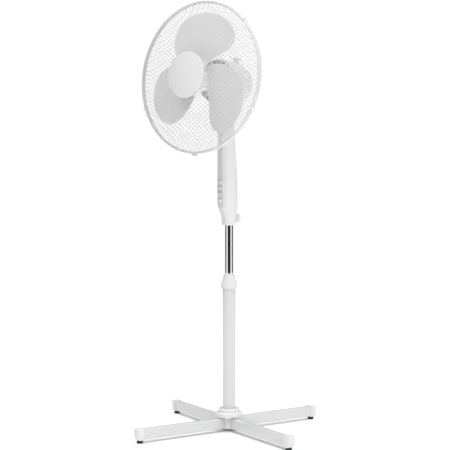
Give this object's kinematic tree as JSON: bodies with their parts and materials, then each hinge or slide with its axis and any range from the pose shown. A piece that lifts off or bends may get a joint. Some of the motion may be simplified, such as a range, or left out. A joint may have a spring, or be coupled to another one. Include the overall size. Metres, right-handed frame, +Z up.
{
  "type": "pedestal fan",
  "caption": "Pedestal fan: a three-paddle blade between two mesh guards on a tilting, swinging head, over a push-button housing, an extending pole and a cross base.",
  "frame": {"origin": "on the floor under the column axis, in the plane of the four feet", "axes": "+Z up along the column; -Y is the front, where the push buttons face; +X is to the right of a viewer who faces the front"},
  "size_m": [0.636, 0.636, 1.2661],
  "materials": {
    "white_paint": "smooth white powder coat",
    "white_plastic": "satin moulded white plastic",
    "grey_plastic": "smooth pale grey plastic",
    "black_rubber": "matt black rubber",
    "chrome": "bright chrome plate",
    "steel": "zinc-plated steel",
    "black_plastic": "matt black plastic",
    "copper": "enamelled copper winding",
    "brass": "turned brass"
  },
  "bodies": {
    "base": {"base_hub": "white_plastic", "leg_right": "white_paint", "leg_cap_right": "white_plastic", "foot_right": "black_rubber", "leg_back": "white_paint", "leg_cap_back": "white_plastic", "foot_back": "black_rubber", "leg_left": "white_paint", "leg_cap_left": "white_plastic", "foot_left": "black_rubber", "leg_front": "white_paint", "leg_cap_front": "white_plastic", "foot_front": "black_rubber", "base_cover": "white_plastic", "base_bolt": "steel", "lower_tube": "white_paint", "collar_sleeve": "white_plastic", "collar_collet": "black_plastic"},
    "clamp_nut": {"clamp_nut": "white_plastic"},
    "mast": {"chrome_pole": "chrome", "pole_bush": "black_plastic", "housing_shell": "white_plastic", "housing_front": "white_plastic", "switch_block": "black_plastic", "run_capacitor": "black_plastic", "cord_gland": "white_plastic", "tilt_bolt": "steel"},
    "lock_knob": {"lock_knob": "white_plastic"},
    "button_speed_3": {"button_speed_3": "white_plastic"},
    "button_speed_2": {"button_speed_2": "white_plastic"},
    "button_speed_1": {"button_speed_1": "white_plastic"},
    "button_off": {"button_off": "white_plastic"},
    "tilt_knob": {"tilt_knob": "white_plastic"},
    "tilt_head": {"tilt_bracket": "white_plastic", "swivel_washer": "black_plastic"},
    "head": {"motor_bracket": "steel", "motor_front_cover": "white_plastic", "motor_rear_cover": "white_plastic", "stator": "copper", "front_bush": "brass", "rear_bearing_plate": "steel", "gear_case": "black_plastic", "front_guard": "white_paint", "rear_guard": "white_paint", "guard_nut": "white_plastic", "hub_cap": "white_plastic", "guard_band": "white_paint", "band_screw": "steel", "guard_clip_1": "white_plastic", "guard_clip_2": "white_plastic", "guard_clip_3": "white_plastic", "guard_clip_4": "white_plastic"},
    "rotor": {"motor_shaft": "steel", "rotor_core": "steel", "fan_blade": "grey_plastic", "spinner_nut": "grey_plastic"},
    "crank": {"output_crank": "black_plastic"},
    "link": {"swing_link": "steel"},
    "worm_gear": {"worm_gear": "brass"},
    "clutch_knob": {"clutch_knob": "white_plastic"}
  },
  "joints": [
    {"name": "height_slide", "type": "slide", "parent": "base", "child": "mast", "axis": [0, 0, 1], "range_m": [-0.145, 0.059]},
    {"name": "clamp_nut_turn", "type": "hinge", "parent": "base", "child": "clamp_nut", "pos_m": [0, 0, 0.441], "axis": [0, 0, 1], "range_deg": [0, 270]},
    {"name": "lock_knob_turn", "type": "hinge", "parent": "mast", "child": "lock_knob", "pos_m": [0, 0.0205, 0.638], "axis": [0, 1, 0], "range_deg": [0, 360]},
    {"name": "button_speed_3_press", "type": "slide", "parent": "mast", "child": "button_speed_3", "axis": [0, 1, 0], "range_m": [0, 0.003], "stiffness_N_per_m": 300},
    {"name": "button_speed_2_press", "type": "slide", "parent": "mast", "child": "button_speed_2", "axis": [0, 1, 0], "range_m": [0, 0.003], "stiffness_N_per_m": 300},
    {"name": "button_speed_1_press", "type": "slide", "parent": "mast", "child": "button_speed_1", "axis": [0, 1, 0], "range_m": [0, 0.003], "stiffness_N_per_m": 300},
    {"name": "button_off_press", "type": "slide", "parent": "mast", "child": "button_off", "axis": [0, 1, 0], "range_m": [0, 0.003], "stiffness_N_per_m": 300},
    {"name": "tilt_knob_turn", "type": "hinge", "parent": "mast", "child": "tilt_knob", "pos_m": [0.017, -0.006, 0.94535], "axis": [1, 0, 0], "range_deg": [0, 360]},
    {"name": "tilt", "type": "hinge", "parent": "mast", "child": "tilt_head", "pos_m": [0, -0.006, 0.94535], "axis": [-1, 0, 0], "range_deg": [-20, 15]},
    {"name": "swing", "type": "hinge", "parent": "tilt_head", "child": "head", "pos_m": [0, -0.006, 0.94535], "axis": [0, 0.0779, 0.997], "range_deg": [-58.2, 21.8]},
    {"name": "blade_spin", "type": "hinge", "parent": "head", "child": "rotor", "pos_m": [0, 0.00109, 1.03607], "axis": [0.3123, -0.9471, 0.074], "continuous": true},
    {"name": "crank_turn", "type": "hinge", "parent": "head", "child": "crank", "pos_m": [-0.00874, 0.02761, 1.034], "axis": [0, 0.0779, 0.997], "range_deg": [-55.97, 148.43]},
    {"name": "link_turn", "type": "hinge", "parent": "crank", "child": "link", "pos_m": [0.00188, 0.02819, 1.03395], "axis": [0, 0.0779, 0.997], "range_deg": [-131.55, 49.65]},
    {"name": "worm_gear_spin", "type": "hinge", "parent": "head", "child": "worm_gear", "pos_m": [-0.00874, 0.02657, 1.02064], "axis": [0.95, 0.3114, -0.0243], "continuous": true},
    {"name": "clutch_lift", "type": "slide", "parent": "head", "child": "clutch_knob", "axis": [0, 0.0779, 0.997], "range_m": [0, 0.008]}
  ],
  "couplings": [
    {"joint": "crank_turn", "follows": "swing", "ratio": -2.54},
    {"joint": "link_turn", "follows": "swing", "ratio": 2.25},
    {"joint": "worm_gear_spin", "follows": "blade_spin", "ratio": 0.05}
  ]
}
